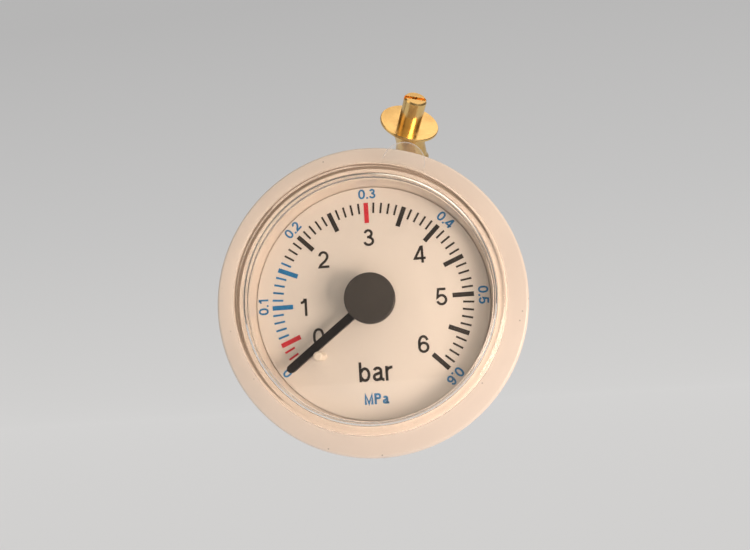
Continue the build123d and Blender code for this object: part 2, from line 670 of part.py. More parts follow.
def end_fitting():
    """Brass fitting: slotted and bored nipple, round flange, waisted neck, grooved body and brazing tail."""
    nose = turned_on(FITTING_FACE, FITTING_AXIS, [
        (0, NIPPLE_LENGTH), (NIPPLE_R - 0.25, NIPPLE_LENGTH), (NIPPLE_R, NIPPLE_LENGTH - 0.25),
        (NIPPLE_R, 0), (FLANGE_R - 0.1, 0), (FLANGE_R, -0.1), (FLANGE_R, -0.45),
        (FLANGE_R - 0.2, -FITTING_FLANGE_T), (0, -FITTING_FLANGE_T)])
    axis, tail_axis = unit(FITTING_AXIS), unit(FITTING_TAIL_AXIS)
    inside_flange = tuple(f - FITTING_FLANGE_T / 2 * a for f, a in zip(FITTING_FACE, axis))
    halfway = unit(tuple(t - a for t, a in zip(tail_axis, axis)))
    middle = tuple((p + q) / 2 for p, q in zip(inside_flange, along_tail(2.1)))
    cone = loft([
        Plane(origin=inside_flange, z_dir=tuple(-a for a in axis)) * Circle(FLANGE_R - 0.2),
        Plane(origin=middle, z_dir=halfway) * Circle(3.75),
        Plane(origin=along_tail(WAIST_AT), z_dir=tail_axis) * Circle(WAIST_R)])
    tail = turned_on(FITTING_FACE, FITTING_TAIL_AXIS, [
        (0, WAIST_AT), (WAIST_R, WAIST_AT), (WAIST_R, 4.3), (3.05, 6.4), (BODY_R, 7.0), (BODY_R, 8.0),
        (2.9, 8.3), (2.9, 8.9), (BODY_R, 9.2), (BODY_R, 10.2), (2.1, 10.7), (1.7, FITTING_TAIL),
        (0, FITTING_TAIL)])
    body = nose + cone + tail
    across = unit((1.0 - axis[0] ** 2, -axis[0] * axis[1], -axis[0] * axis[2]))
    end = Plane(origin=FITTING_FACE, x_dir=across, z_dir=axis)
    body -= end * Pos(0, 0, NIPPLE_LENGTH - SLOT_DEPTH / 2) * Box(6, SLOT_W, SLOT_DEPTH)
    bottom = (Align.CENTER, Align.CENTER, Align.MIN)
    return body - end * Cylinder(FITTING_BORE_R, NIPPLE_LENGTH, align=bottom)


# ---------------------------------------------------------------- write every node

def main():
    os.makedirs("parts", exist_ok=True)
    ring = coil_ring()
    nodes = {
        "bezel_case": bezel_case(),
        "lens": lens(),
        "lens_film": lens_film(),
        "dial": dial(),
        **scale_marks(),
        "stop_pin": stop_pin(),
        "pointer": pointer(),
        "pointer_hub": pointer_hub(),
        "pinion_staff": pinion_staff(),
        "hairspring_collet": rod(1.3, 9.6, 10.5, hole=STAFF_R),
        "hairspring": hairspring(),
        "hairspring_stud": rod(0.4, 9.5, REAR_PLATE_Y, (5.07, 0.0)),
        "sector": sector(),
        "sector_arbor": rod(ARBOR_R, FRONT_PLATE_Y - 0.3, REAR_PLATE_Y + PLATE_T + 0.3, ARBOR),
        "link": flat(link_outline(), LINK_Y, LINK_Y + LINK_T),
        "link_pins": link_pins(),
        "front_plate": plate(FRONT_PLATE_Y),
        "rear_plate": rear_plate(),
        "pillars": pillars(),
        "plate_screws": plate_screws(),
        "socket_block": socket_block(),
        "arm_screws": arm_screws(),
        "bourdon_tube": bourdon_tube(),
        "tube_tip": tube_tip(),
        "back_cover": back_cover(),
        "cover_screws": cover_screws(),
        "socket_screws": socket_screws(),
        "inlet_tube": rod(LINE_R, 13.4, GLAND_Y, GLAND, hole=0.4),
        "gland": gland(),
        "capillary_root": line_tube(gland_route()) - ring,
        "capillary_coil": ring,
        "coil_tie": coil_tie(),
        "capillary_lead": line_tube(lead_route()) - ring,
        "end_fitting": end_fitting(),
    }
    for name, shape in nodes.items():
        write(name, shape)
    print("tip centre, tip pin, arbor, tail pin", TIP_CENTRE, TIP_PIN, ARBOR, TAIL_PIN)
    print("tip turn", TIP_TURN, "coil centre", COIL_CENTRE, "coil y", COIL_FRONT_Y, COIL_BACK_Y)


main()
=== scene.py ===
import json
import math

import bmesh
import bpy
from mathutils import Matrix, Vector


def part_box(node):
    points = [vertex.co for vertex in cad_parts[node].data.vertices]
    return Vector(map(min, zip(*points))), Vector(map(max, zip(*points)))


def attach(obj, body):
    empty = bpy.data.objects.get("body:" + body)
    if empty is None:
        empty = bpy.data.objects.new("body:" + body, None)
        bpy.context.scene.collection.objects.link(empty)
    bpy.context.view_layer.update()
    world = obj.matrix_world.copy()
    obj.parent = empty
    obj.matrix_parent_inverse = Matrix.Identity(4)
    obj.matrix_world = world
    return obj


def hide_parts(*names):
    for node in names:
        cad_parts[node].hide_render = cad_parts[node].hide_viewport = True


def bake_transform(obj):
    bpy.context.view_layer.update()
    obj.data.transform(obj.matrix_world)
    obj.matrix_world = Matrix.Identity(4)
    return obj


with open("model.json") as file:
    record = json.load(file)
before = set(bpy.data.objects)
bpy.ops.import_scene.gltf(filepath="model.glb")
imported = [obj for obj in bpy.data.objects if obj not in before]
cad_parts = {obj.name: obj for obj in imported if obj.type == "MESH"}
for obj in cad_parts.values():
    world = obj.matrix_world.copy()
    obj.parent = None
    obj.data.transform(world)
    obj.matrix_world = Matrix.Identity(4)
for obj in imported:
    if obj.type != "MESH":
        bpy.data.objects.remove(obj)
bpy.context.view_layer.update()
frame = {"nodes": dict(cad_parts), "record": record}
NODES = frame["nodes"]
MOUNTS = {m["name"]: m for m in frame["record"]["mounts"]}

# Places and sizes, in metres. +Y runs into the panel and the dial faces -Y. The floor is well below the object.
MM = 0.001
DIAL_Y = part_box("dial")[0].y
FLOOR_Z = -0.085

# The film's radius and thickness, and its tab's clock angle in degrees, half width and round end's centre.
FILM_R = 21.2 * MM
FILM_T = 0.07 * MM
TAB_CLOCK = 19.0
TAB_HALF = 3.5 * MM
TAB_CENTRE_R = 22.3 * MM


def clock(radius, angle):
    """A point at a radius and a clock angle in degrees, as (x, z)."""
    a = math.radians(angle)
    return radius * math.sin(a), radius * math.cos(a)


# ------------------------------------------------------------------ camera

CAMERA_PLACE = Vector((7.75, -94.3, -11.6)) * MM
CAMERA_FORWARD = Vector((-0.0745, 0.9903, 0.1175)).normalized()
CAMERA_UP = Vector((0.0737, -0.1121, 0.9910))
FOCAL_LENGTH = 26.9
SHIFT_UP = 0.036


def make_camera():
    """Close up, a little below the dial's axis, and rolled a few degrees."""
    right = CAMERA_FORWARD.cross(CAMERA_UP).normalized()
    up = right.cross(CAMERA_FORWARD)
    data = bpy.data.cameras.new("camera")
    data.lens = FOCAL_LENGTH
    data.sensor_width = 36.0
    data.shift_y = SHIFT_UP
    data.clip_start = 0.005
    data.clip_end = 20.0
    camera = bpy.data.objects.new("camera", data)
    turn = Matrix((right, up, -CAMERA_FORWARD)).transposed()
    camera.matrix_world = Matrix.Translation(CAMERA_PLACE) @ turn.to_4x4()
    bpy.context.scene.collection.objects.link(camera)
    bpy.context.scene.camera = camera


# ------------------------------------------------------------------ mesh helpers

def add_object(name, data):
    piece = bpy.data.objects.new(name, data)
    bpy.context.scene.collection.objects.link(piece)
    return piece


def mesh_piece(name, points, faces, smooth=False):
    """A mesh object with all its faces turned the same way, outwards on a closed one."""
    mesh = bpy.data.meshes.new(name)
    mesh.from_pydata([tuple(p) for p in points], [], faces)
    mesh.validate()
    work = bmesh.new()
    work.from_mesh(mesh)
    bmesh.ops.recalc_face_normals(work, faces=work.faces)
    work.to_mesh(mesh)
    work.free()
    if smooth:
        mesh.shade_smooth()
    return add_object(name, mesh)


# ------------------------------------------------------------------ capillary line

LINE_D = 2.0 * MM

# The route, in millimetres. The line leaves the gland in runs at these angles to the case's axis, and is
# wound in two layers. It ends along the fitting's neck, at these distances from the nipple's face.
EXIT_RUN = 6.0
EXIT_ANGLES = (0, 30, 60)
COIL_OUTER_R = 14.2
COIL_PITCH = 2.1
POINTS_PER_TURN = 14
LEAD_FIRST_RUN = 13.8
LEAD_MIDDLE = (8.1, 25.35, 19.95)
NECK_AXIS = Vector((-0.025, 0.762, -0.649)).normalized()
NECK_DISTANCES = (16.47, 12.0)


def coil_place(turns):
    """Radius and layer depth (0 front, 1 back) after so many turns of the wound coil."""
    front_steps = (0.82, 1.82, 2.82)
    back_steps = (4.40, 5.40, 6.40)
    layer_step = 3.64
    step_length = 0.18

    def eased(t):
        t = min(1.0, max(0.0, t))
        return t * t * (3 - 2 * t)

    radius = COIL_OUTER_R
    radius -= COIL_PITCH * sum(eased((turns - s) / step_length) for s in front_steps)
    radius += COIL_PITCH * sum(eased((turns - s) / step_length) for s in back_steps)
    depth = eased((turns - layer_step) / step_length)
    return radius, depth


def line_route():
    """The line's points in millimetres: out of the gland, round the coil and up to the end fitting."""
    gland_low, gland_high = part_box("gland")
    gland = (gland_low + gland_high) / 2 / MM
    exit_y = gland_high.y / MM
    coil_low, coil_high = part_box("capillary_coil")
    centre = (coil_low + coil_high) / 2 / MM
    front_y, back_y = centre.y - COIL_PITCH / 2, centre.y + COIL_PITCH / 2

    # Straight out of the gland, over to one side, and onto the outer turn along its tangent.
    offset = Vector((gland.x - centre.x, gland.z - centre.z))
    run = math.sqrt(offset.length_squared - COIL_OUTER_R ** 2)
    start = math.degrees(math.atan2(offset.x, offset.y)) + math.degrees(math.atan2(run, COIL_OUTER_R))
    heading = Vector(clock(1.0, start + 90))
    y, along = exit_y, 0.0
    points = [(gland.x, y, gland.z)]
    for angle in EXIT_ANGLES:
        y += EXIT_RUN * math.cos(math.radians(angle))
        along += EXIT_RUN * math.sin(math.radians(angle))
        points.append((gland.x + along * heading.x, y, gland.z + along * heading.y))
    points.append((gland.x + run * heading.x, y, gland.z + run * heading.y))

    # Round the coil, until the line heads the way that the end fitting points.
    face = Vector(MOUNTS["nipple"]["pos_m"]) / MM
    axis = Vector(MOUNTS["nipple"]["axis"])
    lead = Vector((axis.x, axis.z)).normalized()
    end = math.degrees(math.atan2(lead.x, lead.y)) - 90
    total = 6 + ((end - start) % 360) / 360
    inward = 0.75 + 0.25 * math.cos(2 * math.pi / POINTS_PER_TURN)
    count = round(total * POINTS_PER_TURN)
    for k in range(1, count):
        turns = total * k / count
        radius, depth = coil_place(turns)
        x, z = clock(radius / inward, start + 360 * turns)
        points.append((centre.x + x, front_y + (back_y - front_y) * depth, centre.z + z))

    # Off the coil and into the end fitting along its bent neck.
    x, z = clock(COIL_OUTER_R, end)
    points.append((centre.x + x, back_y, centre.z + z))
    points.append((centre.x + x + LEAD_FIRST_RUN * lead.x, back_y, centre.z + z + LEAD_FIRST_RUN * lead.y))
    points.append(LEAD_MIDDLE)
    points += [tuple(face + distance * NECK_AXIS) for distance in NECK_DISTANCES]
    return points


def make_line(material):
    """The capillary line as one smooth curve with a round section."""
    curve = bpy.data.curves.new("capillary", "CURVE")
    curve.dimensions = "3D"
    curve.bevel_depth = LINE_D / 2
    curve.bevel_resolution = 6
    curve.use_fill_caps = True
    route = line_route()
    spline = curve.splines.new("NURBS")
    spline.points.add(len(route) - 1)
    for place, point in zip(route, spline.points):
        point.co = (place[0] * MM, place[1] * MM, place[2] * MM, 1.0)
    spline.order_u = 3
    spline.use_endpoint_u = True
    spline.resolution_u = 6
    line = add_object("capillary", curve)
    curve.materials.append(material)
    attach(line, "case")
    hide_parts("capillary_root", "capillary_coil", "capillary_lead")


# ------------------------------------------------------------------ materials

class Surface:
    """A Principled material with helpers for its texture nodes."""

    def __init__(self, name, colour, roughness, metallic=0.0, **sockets):
        self.material = bpy.data.materials.new(name)
        self.material.use_nodes = True
        self.tree = self.material.node_tree
        self.shader = self.tree.nodes["Principled BSDF"]
        self.set("Base Color", (*colour, 1.0))
        self.set("Roughness", roughness)
        self.set("Metallic", metallic)
        for socket, value in sockets.items():
            self.set(socket.replace("_", " "), value)
        self.place = self.add("ShaderNodeTexCoord").outputs["Object"]
        self.height = None

    def add(self, kind, **settings):
        made = self.tree.nodes.new(kind)
        for key, value in settings.items():
            setattr(made, key, value)
        return made

    def join(self, source, target):
        self.tree.links.new(source, target)

    def set(self, socket, value):
        self.shader.inputs[socket].default_value = value

    def noise(self, scale, detail=4.0, stretch=(1, 1, 1), distortion=0.0):
        """Noise with a feature size of about 1 / scale metres."""
        mapping = self.add("ShaderNodeMapping")
        mapping.inputs["Scale"].default_value = stretch
        self.join(self.place, mapping.inputs["Vector"])
        made = self.add("ShaderNodeTexNoise")
        made.inputs["Scale"].default_value = scale
        made.inputs["Detail"].default_value = detail
        made.inputs["Distortion"].default_value = distortion
        self.join(mapping.outputs["Vector"], made.inputs["Vector"])
        return made.outputs["Fac"]

    def specks(self, scale, size):
        """1 at scattered round specks and 0 elsewhere."""
        cells = self.add("ShaderNodeTexVoronoi")
        cells.inputs["Scale"].default_value = scale
        self.join(self.place, cells.inputs["Vector"])
        return self.ramp(cells.outputs["Distance"], (size, 1.0), (size * 1.6, 0.0))

    def ramp(self, factor, low, high):
        """A value that goes from low's value to high's between their places."""
        made = self.add("ShaderNodeMapRange")
        for socket, value in zip(("From Min", "To Min", "From Max", "To Max"), (*low, *high)):
            made.inputs[socket].default_value = value
        made.clamp = True
        self.join(factor, made.inputs["Value"])
        return made.outputs["Result"]

    def times(self, a, b):
        made = self.add("ShaderNodeMath", operation="MULTIPLY")
        self.join(a, made.inputs[0])
        if isinstance(b, float):
            made.inputs[1].default_value = b
        else:
            self.join(b, made.inputs[1])
        return made.outputs[0]

    def blend(self, factor, a, b):
        """Colour a where the factor is 0 and b where it is 1. Each is a colour or an output."""
        made = self.add("ShaderNodeMix", data_type="RGBA")
        self.join(factor, made.inputs[0])
        for socket, colour in ((6, a), (7, b)):
            if isinstance(colour, tuple):
                made.inputs[socket].default_value = (*colour, 1.0)
            else:
                self.join(colour, made.inputs[socket])
        return made.outputs[2]

    def distance(self, centre):
        """Distance from a line along Y through a point."""
        offset = self.add("ShaderNodeVectorMath", operation="SUBTRACT")
        self.join(self.place, offset.inputs[0])
        offset.inputs[1].default_value = centre
        flat = self.add("ShaderNodeVectorMath", operation="MULTIPLY")
        self.join(offset.outputs[0], flat.inputs[0])
        flat.inputs[1].default_value = (1.0, 0.0, 1.0)
        length = self.add("ShaderNodeVectorMath", operation="LENGTH")
        self.join(flat.outputs[0], length.inputs[0])
        return length.outputs["Value"]

    def over(self, factor, below, above):
        """Shader below where the factor is 0 and above where it is 1."""
        both = self.add("ShaderNodeMixShader")
        for source, socket in zip((factor, below, above), both.inputs):
            self.join(source, socket)
        return both.outputs[0]

    def colour(self, output):
        self.join(output, self.shader.inputs["Base Color"])

    def roughness(self, factor, low, high):
        self.join(self.ramp(factor, (0.3, low), (0.7, high)), self.shader.inputs["Roughness"])

    def bump(self, factor, depth, strength=1.0):
        """Adds relief of that depth in metres, on top of the relief so far."""
        made = self.add("ShaderNodeBump")
        made.inputs["Strength"].default_value = strength
        made.inputs["Distance"].default_value = depth
        self.join(factor, made.inputs["Height"])
        if self.height:
            self.join(self.height, made.inputs["Normal"])
        self.height = made.outputs["Normal"]
        self.join(self.height, self.shader.inputs["Normal"])


def white_plastic(name, colour, roughness):
    """Glossy moulded plastic: faint flow marks, fine grain, dust and a few dark specks."""
    s = Surface(name, colour, roughness, Coat_Weight=0.25, Coat_Roughness=0.12)
    soft = s.noise(60.0, 3.0)
    darker = tuple(c * 0.94 for c in colour)
    tinted = s.blend(s.ramp(soft, (0.35, 0.0), (0.7, 1.0)), colour, darker)
    dirt = s.specks(420.0, 0.045)
    s.colour(s.blend(s.times(dirt, 0.6), tinted, tuple(c * 0.35 for c in colour)))
    s.roughness(s.noise(300.0, 5.0), roughness - 0.06, roughness + 0.10)
    s.bump(s.noise(900.0, 3.0), 0.00002, 0.35)
    s.bump(s.noise(5000.0, 2.0, (1, 1, 0.15)), 0.000004, 0.4)
    return s.material


def dial_paint():
    """Matt white paint with a fine grain."""
    base = (0.80, 0.76, 0.72)
    s = Surface("dial_paint", base, 0.55)
    patches = s.ramp(s.noise(80.0, 4.0), (0.3, 0.0), (0.7, 1.0))
    s.colour(s.blend(patches, base, tuple(c * 0.965 for c in base)))
    s.roughness(s.noise(600.0), 0.48, 0.62)
    s.bump(s.noise(4000.0, 3.0), 0.00001, 0.3)
    return s.material


def ink(name, colour):
    """Printed ink, a little lighter in patches where it is thin."""
    s = Surface(name, colour, 0.5)
    lighter = tuple(min(1.0, c * 1.3 + 0.008) for c in colour)
    s.colour(s.blend(s.ramp(s.noise(1500.0, 5.0), (0.45, 0.0), (0.8, 1.0)), colour, lighter))
    s.roughness(s.noise(2500.0), 0.4, 0.6)
    s.bump(s.noise(6000.0), 0.000004, 0.4)
    return s.material


def satin_plastic(name, colour, roughness):
    """Satin moulded plastic or paint: lighter scuffs and a fine grain."""
    s = Surface(name, colour, roughness, Specular_IOR_Level=0.3)
    lighter = tuple(c * 1.25 for c in colour)
    s.colour(s.blend(s.ramp(s.noise(250.0, 6.0), (0.4, 0.0), (0.75, 1.0)), colour, lighter))
    s.roughness(s.noise(700.0, 5.0), roughness - 0.07, roughness + 0.1)
    s.bump(s.noise(3500.0, 4.0), 0.00001, 0.5)
    return s.material


def metal(name, colour, roughness, worn, grain=(1, 1, 1), grain_depth=0.000004):
    """Bare metal: machining grain, patches of tarnish and small pits."""
    s = Surface(name, colour, roughness, metallic=1.0)
    patches = s.ramp(s.noise(220.0, 6.0, distortion=0.4), (0.45, 0.0), (0.75, 1.0))
    s.colour(s.blend(s.times(patches, 0.7), colour, worn))
    s.roughness(s.noise(900.0, 6.0), roughness * 0.7, roughness * 1.4)
    s.bump(s.noise(2600.0, 4.0, grain), grain_depth, 0.5)
    s.bump(s.noise(350.0, 2.0), grain_depth * 2, 0.2)
    return s.material


def clear(name, tint, roughness, ripple):
    """Clear plastic that lets light through to what lies behind it."""
    s = Surface(name, tint, roughness, IOR=1.49, Transmission_Weight=1.0)
    s.bump(s.noise(90.0, 2.0), ripple, 0.3)
    passing = s.add("ShaderNodeBsdfTransparent")
    passing.inputs["Color"].default_value = (*tint, 1.0)
    path = s.add("ShaderNodeLightPath")
    surface = s.over(path.outputs["Is Shadow Ray"], s.shader.outputs[0], passing.outputs[0])
    s.join(surface, s.tree.nodes["Material Output"].inputs["Surface"])
    return s.material


def thin_film(name):
    """Film too thin to bend light: it only shines, more at a glancing angle.
    Its loose tab is hazy, with a painted highlight: a light line along its round end."""
    s = Surface(name, (0.8, 0.8, 0.8), 0.9)
    s.bump(s.noise(70.0, 2.0), 0.0001, 0.3)
    passing = s.add("ShaderNodeBsdfTransparent")
    passing.inputs["Color"].default_value = (0.985, 0.985, 0.98, 1.0)
    shine = s.add("ShaderNodeBsdfGlossy")
    s.join(s.ramp(s.noise(1500.0, 5.0, (1, 1, 6)), (0.4, 0.05), (0.7, 0.16)), shine.inputs["Roughness"])
    s.join(s.height, shine.inputs["Normal"])
    glance = s.add("ShaderNodeFresnel")
    glance.inputs["IOR"].default_value = 1.14
    radius = s.distance((0.0, 0.0, 0.0))
    tab_x, tab_z = clock(TAB_CENTRE_R, TAB_CLOCK)
    # Painted highlight: a thin light band just inside the tab's round end stands in for the glint on its cut
    # edge.
    edge = s.ramp(s.distance((tab_x, 0.0, tab_z)), (TAB_HALF - 0.3 * MM, 0.0), (TAB_HALF - 0.1 * MM, 0.30))
    edge = s.times(edge, s.ramp(radius, (TAB_CENTRE_R, 0.0), (TAB_CENTRE_R + 0.5 * MM, 1.0)))
    # The tab's haze and the edge's painted highlight both mix in the grey diffuse shader.
    haze_and_edge_highlight = s.add("ShaderNodeMath", operation="MAXIMUM")
    s.join(s.ramp(radius, (FILM_R + 0.2 * MM, 0.0), (FILM_R + 1.4 * MM, 0.07)), haze_and_edge_highlight.inputs[0])
    s.join(edge, haze_and_edge_highlight.inputs[1])
    surface = s.over(glance.outputs[0], passing.outputs[0], shine.outputs[0])
    surface = s.over(haze_and_edge_highlight.outputs[0], surface, s.shader.outputs[0])
    s.join(surface, s.tree.nodes["Material Output"].inputs["Surface"])
    return s.material


def make_materials():
    """One material for each of the record's material slots, by the slot's name."""
    return {
        "white_plastic": white_plastic("white_plastic", (0.83, 0.735, 0.655), 0.34),
        "cover_plastic": white_plastic("cover_plastic", (0.74, 0.71, 0.66), 0.45),
        "clear_lens": clear("clear_lens", (0.99, 0.985, 0.975), 0.03, 0.00002),
        "clear_film": thin_film("clear_film"),
        "dial_paint": dial_paint(),
        "black_print": ink("black_print", (0.016, 0.012, 0.010)),
        "blue_print": ink("blue_print", (0.005, 0.18, 0.45)),
        "red_print": ink("red_print", (0.60, 0.018, 0.035)),
        "white_pin": satin_plastic("white_pin", (0.80, 0.74, 0.66), 0.4),
        "black_paint": satin_plastic("black_paint", (0.006, 0.004, 0.0035), 0.45),
        "black_plastic": satin_plastic("black_plastic", (0.048, 0.044, 0.041), 0.5),
        "bronze_strip": metal("bronze_strip", (0.60, 0.40, 0.20), 0.3, (0.35, 0.20, 0.10)),
        "bronze_tube": metal("bronze_tube", (0.66, 0.46, 0.25), 0.35, (0.35, 0.20, 0.10)),
        "brass": metal("brass", (0.78, 0.55, 0.24), 0.28, (0.42, 0.25, 0.09), (1, 6, 1)),
        "polished_brass": metal("polished_brass", (0.85, 0.585, 0.235), 0.2, (0.60, 0.37, 0.14),
                                grain_depth=0.000002),
        "copper": metal("copper", (0.78, 0.38, 0.22), 0.3, (0.35, 0.14, 0.07), grain_depth=0.000006),
        "steel": metal("steel", (0.55, 0.54, 0.52), 0.3, (0.35, 0.32, 0.28), (1, 8, 1)),
        "tie_plastic": satin_plastic("tie_plastic", (0.03, 0.03, 0.03), 0.45),
    }


# ------------------------------------------------------------------ printed figures

INK_T = 0.03 * MM
INK_LIFT = 0.002 * MM
X_HEIGHT = 0.735


def arc(cx, cy, rx, ry, start, end, square=2.0):
    """Points along an ellipse's arc, in degrees from +x, made squarer by an exponent over 2."""
    count = max(4, round(abs(end - start) / 9))
    points = []
    for k in range(count + 1):
        a = math.radians(start + (end - start) * k / count)
        c, s = math.cos(a), math.sin(a)
        x = math.copysign(abs(c) ** (2 / square), c)
        y = math.copysign(abs(s) ** (2 / square), s)
        points.append((cx + rx * x, cy + ry * y))
    return points


def glyph(char, h):
    """Centrelines of a character one unit high, where h is half the stroke's width, and its advance.
    A centreline whose ends meet is closed."""
    top, low = 1 - h, h
    if char == "0":
        return [arc(0.33, 0.5, 0.33 - h, 0.5 - h, 0, 360, 2.3)], 0.74
    if char == "1":
        flag = [(0.08, 0.77), (0.17, 0.78), (0.25, 0.82), (0.30, 0.89), (0.32, 1.0)]
        return [flag, [(0.37, 0), (0.37, 1)]], 0.70
    if char == "2":
        bowl = arc(0.32, 0.68, 0.30 - h, 0.32 - h, 172, -38)
        sweep = [(0.40, 0.40), (0.25, 0.28), (0.13, 0.17), (0.085, low)]
        return [bowl + sweep + [(0.64, low)]], 0.74
    if char == "3":
        upper = arc(0.31, 0.735, 0.265 - h, 0.265 - h, 168, -78)
        lower = arc(0.315, 0.29, 0.315 - h, 0.285 - h, 82, -172)
        return [upper, lower, [(0.23, 0.53), (0.35, 0.53)]], 0.74
    if char == "4":
        return [[(0.66, 0.27), (0.055, 0.27), (0.43, 0.95)], [(0.475, 0), (0.475, 1)]], 0.74
    if char == "5":
        bowl = arc(0.32, 0.325, 0.32 - h, 0.325 - h, 140, -165)
        return [[(0.58, top), (0.165, top), (0.095, 0.47)] + bowl[1:]], 0.74
    if char == "6":
        stem = arc(0.34, 0.5, 0.32 - h, 0.5 - h, 28, 200, 2.1)
        return [stem, arc(0.335, 0.32, 0.315 - h, 0.32 - h, 0, 360)], 0.74
    if char == ".":
        return [[(0.12, 0), (0.12, 2 * h)]], 0.30
    if char == "b":
        bowl = arc(0.31, X_HEIGHT / 2, 0.29 - h, X_HEIGHT / 2 - h, 155, -155)
        return [[(h, 0), (h, 1)], bowl], 0.70
    if char == "a":
        hook = arc(0.29, 0.52, 0.25 - h, X_HEIGHT - 0.52 - h, 165, 0)
        stem = [(0.54 - h, 0.50), (0.54 - h, 0.14), (0.56, low), (0.63, low)]
        bowl = arc(0.235, 0.215, 0.215 - h, 0.215 - h, 100, 290)
        return [hook + stem, [(0.54 - h, 0.44), (0.36, 0.40)] + bowl + [(0.40, 0.10), (0.54 - h, 0.24)]], 0.70
    if char == "r":
        return [[(h, 0), (h, X_HEIGHT)], arc(0.36, 0.44, 0.36 - h, X_HEIGHT - 0.44 - h, 180, 84)], 0.42
    if char == "M":
        return [[(h, 0), (h, top), (0.40, 0.10), (0.80 - h, top), (0.80 - h, 0)]], 0.92
    if char == "P":
        bowl = arc(0.38, 0.72, 0.24 - h, 0.28 - h, 90, -90, 2.3)
        return [[(h, 0), (h, top)] + bowl + [(h, 0.44 + h)]], 0.72
    raise ValueError(char)


def ribbon(points, half):
    """Quads along a centreline, mitred at its corners: returns (points, faces)."""
    line = [Vector(p) for p in points]
    closed = (line[0] - line[-1]).length < 1e-6
    if closed:
        line = line[:-1]
    count = len(line)
    rails = []
    for i, at in enumerate(line):
        before = line[i - 1] if i or closed else None
        after = line[(i + 1) % count] if i < count - 1 or closed else None
        one = (at - before).normalized() if before is not None else (after - at).normalized()
        two = (after - at).normalized() if after is not None else one
        side = Vector((-(one + two).y, (one + two).x)).normalized()
        reach = half / max(0.45, side.dot(Vector((-one.y, one.x))))
        rails += [at + side * reach, at - side * reach]
    faces = []
    for i in range(count if closed else count - 1):
        j = (i + 1) % count
        faces.append((2 * i, 2 * i + 1, 2 * j + 1, 2 * j))
    return rails, faces


def printed(name, text, height, stroke, place, angle, material, squeeze=1.0):
    """A printed word on the dial, centred on (x, z) and turned clockwise by an angle."""
    half = stroke / height / 2
    points, faces, pen = [], [], 0.0
    for char in text:
        lines, advance = glyph(char, half)
        for line in lines:
            shifted = [(x + pen, y) for x, y in line]
            rails, quads = ribbon(shifted, half)
            faces += [tuple(i + len(points) for i in q) for q in quads]
            points += rails
        pen += advance
    left, right = min(p[0] for p in points), max(p[0] for p in points)
    turn = math.radians(angle)
    flat = []
    for p in points:
        x = (p[0] - (left + right) / 2) * height * squeeze
        z = (p[1] - 0.5) * height
        flat.append((place[0] + x * math.cos(turn) + z * math.sin(turn),
                     place[1] - x * math.sin(turn) + z * math.cos(turn)))
    count = len(flat)
    solid = [(x, DIAL_Y - INK_T, z) for x, z in flat] + [(x, DIAL_Y - INK_LIFT, z) for x, z in flat]
    edges = {}
    for face in faces:
        for a, b in zip(face, face[1:] + face[:1]):
            edges[frozenset((a, b))] = edges.get(frozenset((a, b)), 0) + 1
    walls = [(a, b, b + count, a + count) for a, b in (tuple(e) for e, n in edges.items() if n == 1)]
    backs = [tuple(i + count for i in reversed(face)) for face in faces]
    piece = mesh_piece(name, solid, faces + backs + walls)
    piece.data.materials.append(material)
    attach(piece, "case")
    return piece


def make_print(looks):
    """The figures and the two units' names. The scale's marks are CAD solids."""
    black, blue = looks["black_print"], looks["blue_print"]
    # Each figure's centre, in millimetres from the dial's and in degrees clockwise from the top.
    bar_figures = (("0", 11.13, -119.9), ("1", 11.98, -91.0), ("2", 11.38, -45.5), ("3", 11.26, 0.6),
                   ("4", 11.54, 49.0), ("5", 12.01, 90.5), ("6", 11.56, 133.8))
    for text, radius, angle in bar_figures:
        printed(f"bar_figure_{text}", text, 3.05 * MM, 0.44 * MM, clock(radius * MM, angle), 0.0, black)
    # The outer figures follow their marks round, a little past them. The first is 7.5 degrees further on.
    mpa_r, mpa_turn = 19.15 * MM, 0.9
    for k, text in enumerate(("0", "0.1", "0.2", "0.3", "0.4", "0.5", "0.6")):
        angle = mpa_turn + (-127.5 if k == 0 else 45.0 * (k - 3))
        printed(f"mpa_figure_{k}", text, 1.75 * MM, 0.31 * MM, clock(mpa_r, angle), angle, blue, 1.05)
    printed("unit_bar", "bar", 3.4 * MM, 0.50 * MM, (-0.12 * MM, -12.1 * MM), 0.0, black, 0.95)
    printed("unit_mpa", "MPa", 1.85 * MM, 0.37 * MM, (-0.24 * MM, -16.72 * MM), 0.0, blue, 1.0)


# ------------------------------------------------------------------ film on the lens

def make_film(material):
    """Flat clear film over the lens face, with a round-ended pull tab past its edge."""
    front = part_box("lens_film")[0].y
    back = front + FILM_T
    round_steps, tab_steps, rings = 160, 24, 14
    join = math.degrees(math.asin(TAB_HALF / FILM_R))
    outline = []
    for k in range(round_steps + 1):
        outline.append(Vector(clock(FILM_R, TAB_CLOCK + join + (360 - 2 * join) * k / round_steps)))
    centre = Vector(clock(TAB_CENTRE_R, TAB_CLOCK))
    for k in range(tab_steps + 1):
        outline.append(centre + Vector(clock(TAB_HALF, TAB_CLOCK - 90 + 180 * k / tab_steps)))
    points, faces = [], []
    count = len(outline)
    for y in (front, back):
        for ring in range(rings + 1):
            share = (ring + 1) / (rings + 1)
            points += [(p.x * share, y, p.y * share) for p in outline]
    layer = (rings + 1) * count
    for start in (0, layer):
        faces.append(tuple(range(start, start + count)))
        for ring in range(rings):
            at = start + ring * count
            for i in range(count):
                j = (i + 1) % count
                faces.append((at + i, at + j, at + count + j, at + count + i))
    rim = rings * count
    for i in range(count):
        j = (i + 1) % count
        faces.append((rim + i, rim + j, layer + rim + j, layer + rim + i))
    film = mesh_piece("film", points, faces)
    film.data.materials.append(material)
    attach(film, "case")
    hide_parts("lens_film")


# ------------------------------------------------------------------ Bourdon tube

def make_tube(material):
    """The Bourdon tube as a copy of its solid, from its root in the case to its tip."""
    solid = NODES["bourdon_tube"]
    tube = add_object("bending_tube", solid.data.copy())
    tube.matrix_world = solid.matrix_world.copy()
    tube.data.materials.clear()
    tube.data.materials.append(material)
    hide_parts("bourdon_tube")
    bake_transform(tube)


# ------------------------------------------------------------------ stage

